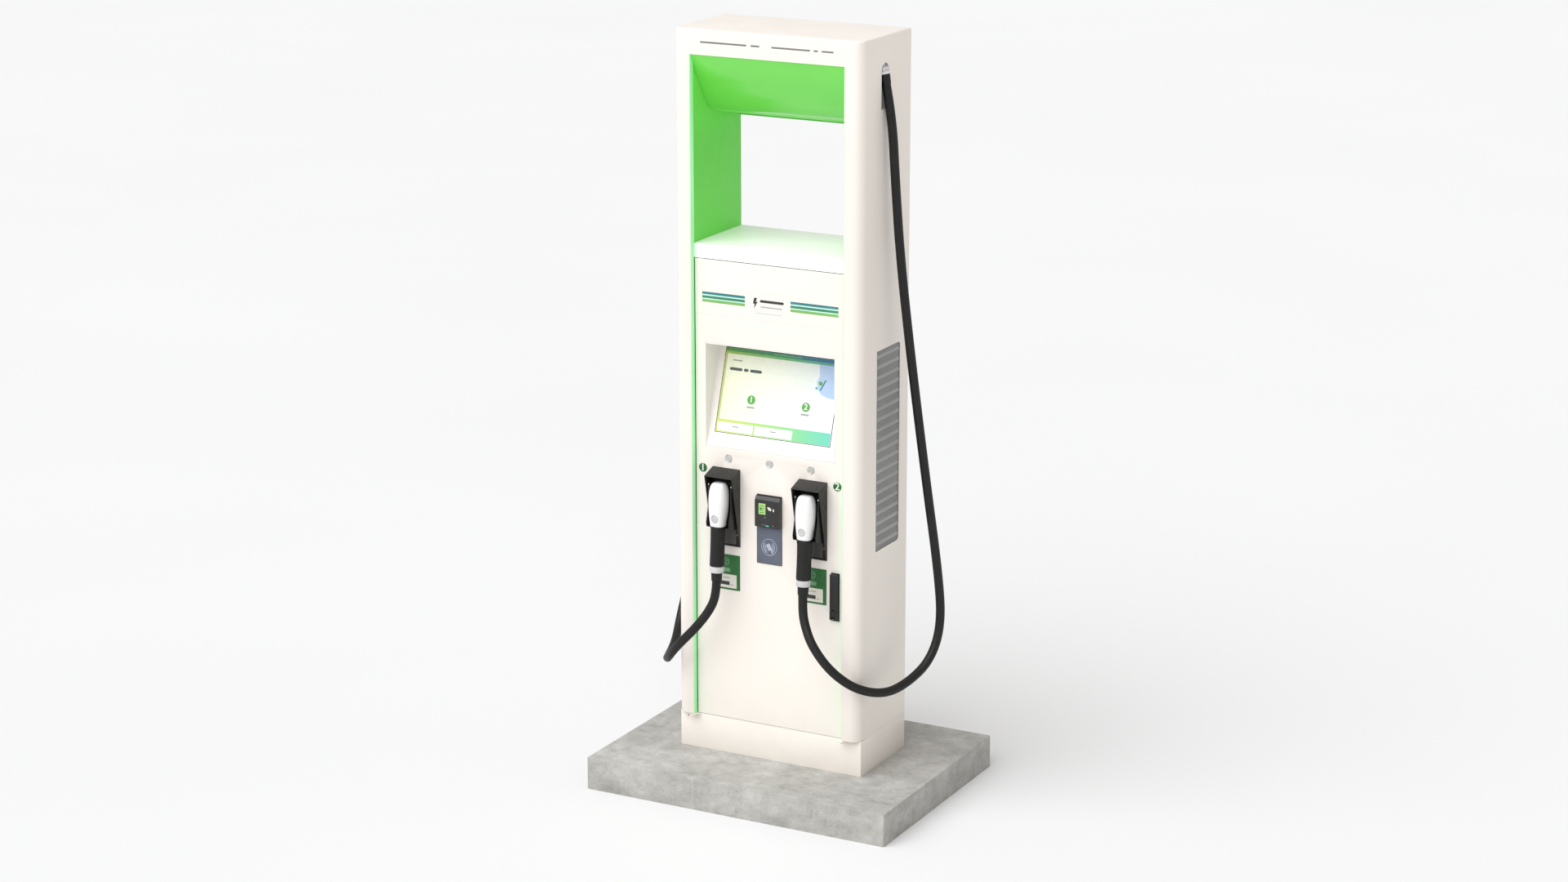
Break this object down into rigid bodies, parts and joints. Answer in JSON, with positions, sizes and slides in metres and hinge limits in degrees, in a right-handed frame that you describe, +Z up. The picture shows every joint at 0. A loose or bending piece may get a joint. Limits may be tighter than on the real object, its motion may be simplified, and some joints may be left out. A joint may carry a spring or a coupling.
{
  "type": "ev charging post",
  "caption": "Free-standing vehicle charging post on a concrete pad, with an open portal, sloping touch screen, card reader and connectors parked in hooded holsters on the front door.",
  "frame": {"origin": "bottom centre of the concrete pad", "axes": "+Z up, -Y towards the user, +X to the right as the user sees it"},
  "size_m": [1.046, 0.776, 2.406],
  "materials": {
    "body_white": "satin white powder coat",
    "portal_green": "gloss green paint",
    "light_strip": "pale green translucent acrylic",
    "concrete": "cast concrete",
    "galvanised_steel": "galvanised",
    "equipment_grey": "grey enamel",
    "equipment_black": "moulded black",
    "circuit_board": "solder mask green",
    "vent_grey": "grey powder coat",
    "pocket_white": "light moulded plastic",
    "cable_rubber": "satin black cable jacket",
    "band_print": "printed film",
    "screen_glass": "coated display glass",
    "bezel_white": "moulded white",
    "holster_black": "fine textured charcoal",
    "connector_white": "gloss white moulding",
    "connector_black": "satin black moulding",
    "connector_grey": "light grey moulding",
    "label_green": "printed film",
    "reader_black": "gloss black moulding",
    "payment_blue": "printed blue-grey panel",
    "lock_steel": "polished",
    "seal_rubber": "extruded seal"
  },
  "bodies": {
    "cabinet": {"concrete_pad": "concrete", "anchor_bolts": "galvanised_steel", "plinth": "body_white", "right_column": "body_white", "left_column": "body_white", "header": "body_white", "top_cap": "body_white", "portal_soffit": "portal_green", "portal_liners": "portal_green", "portal_shelf": "body_white", "edge_lights": "light_strip", "rear_panel": "body_white", "rear_screws": "galvanised_steel", "vent_grilles": "vent_grey", "outlet_pockets": "pocket_white", "cable_glands": "pocket_white", "cable_1": "cable_rubber", "cable_2": "cable_rubber", "mounting_plate": "galvanised_steel", "power_modules": "equipment_grey", "main_breaker": "equipment_black", "contactors": "equipment_grey", "control_board": "circuit_board", "coolant_unit": "equipment_grey", "fan_shrouds": "equipment_black", "hinge_pins": "galvanised_steel"},
    "door": {"front_door": "body_white", "door_gasket": "seal_rubber", "graphic_band": "band_print", "screen_bezel": "bezel_white", "touch_screen": "screen_glass", "display_unit": "equipment_black", "reader_plate": "bezel_white", "payment_panel": "payment_blue", "card_reader": "reader_black", "door_labels": "label_green", "handle_base": "holster_black", "holster_hood_1": "holster_black", "holster_hood_2": "holster_black", "holster_cradle_1": "holster_black", "holster_cradle_2": "holster_black"},
    "fan_rotor_left": {"fan_rotor_left": "equipment_black"},
    "fan_rotor_right": {"fan_rotor_right": "equipment_black"},
    "breaker_toggle": {"breaker_toggle": "equipment_black"},
    "handle_hub": {"handle_hub": "holster_black"},
    "handle_lever": {"handle_lever": "holster_black"},
    "lock_1": {"lock_1": "lock_steel"},
    "lock_2": {"lock_2": "lock_steel"},
    "lock_3": {"lock_3": "lock_steel"},
    "connector_1": {"connector_shell_1": "connector_white", "connector_nose_1": "connector_black", "connector_grip_1": "connector_black", "connector_collar_1": "connector_grey"},
    "release_button_1": {"connector_button_1": "connector_grey"},
    "connector_2": {"connector_shell_2": "connector_white", "connector_nose_2": "connector_black", "connector_grip_2": "connector_black", "connector_collar_2": "connector_grey"},
    "release_button_2": {"connector_button_2": "connector_grey"}
  },
  "joints": [
    {"name": "door_hinge", "type": "hinge", "parent": "cabinet", "child": "door", "pos_m": [-0.24, -0.13, 0.96], "axis": [0, 0, -1], "range_deg": [0, 90], "deforming": ["cable_1", "cable_2"]},
    {"name": "handle_turn", "type": "hinge", "parent": "door", "child": "handle_hub", "pos_m": [0.2295, -0.15, 0.624], "axis": [0, -1, 0], "range_deg": [0, 90]},
    {"name": "lever_lift", "type": "hinge", "parent": "handle_hub", "child": "handle_lever", "pos_m": [0.2295, -0.1515, 0.624], "axis": [1, 0, 0], "range_deg": [0, 20]},
    {"name": "lock_1_turn", "type": "hinge", "parent": "door", "child": "lock_1", "pos_m": [-0.1435, -0.14, 1.076], "axis": [0, -1, 0], "range_deg": [0, 90]},
    {"name": "lock_2_turn", "type": "hinge", "parent": "door", "child": "lock_2", "pos_m": [0, -0.14, 1.076], "axis": [0, -1, 0], "range_deg": [0, 90]},
    {"name": "lock_3_turn", "type": "hinge", "parent": "door", "child": "lock_3", "pos_m": [0.1435, -0.14, 1.076], "axis": [0, -1, 0], "range_deg": [0, 90]},
    {"name": "connector_1_pull", "type": "slide", "parent": "door", "child": "connector_1", "axis": [0, -0.9976, 0.0698], "range_m": [0, 0.16]},
    {"name": "release_1_press", "type": "slide", "parent": "connector_1", "child": "release_button_1", "axis": [0, 0.9976, -0.0698], "range_m": [0, 0.004], "stiffness_N_per_m": 300},
    {"name": "connector_2_pull", "type": "slide", "parent": "door", "child": "connector_2", "axis": [0, -0.9976, 0.0698], "range_m": [0, 0.16]},
    {"name": "release_2_press", "type": "slide", "parent": "connector_2", "child": "release_button_2", "axis": [0, 0.9976, -0.0698], "range_m": [0, 0.004], "stiffness_N_per_m": 300},
    {"name": "fan_left_spin", "type": "hinge", "parent": "cabinet", "child": "fan_rotor_left", "pos_m": [-0.29, 0.0335, 1.3], "axis": [1, 0, 0], "continuous": true},
    {"name": "fan_right_spin", "type": "hinge", "parent": "cabinet", "child": "fan_rotor_right", "pos_m": [0.29, 0.0335, 1.3], "axis": [1, 0, 0], "continuous": true},
    {"name": "breaker_throw", "type": "hinge", "parent": "cabinet", "child": "breaker_toggle", "pos_m": [-0.13, 0.09, 1.29], "axis": [1, 0, 0], "range_deg": [0, 50]}
  ]
}
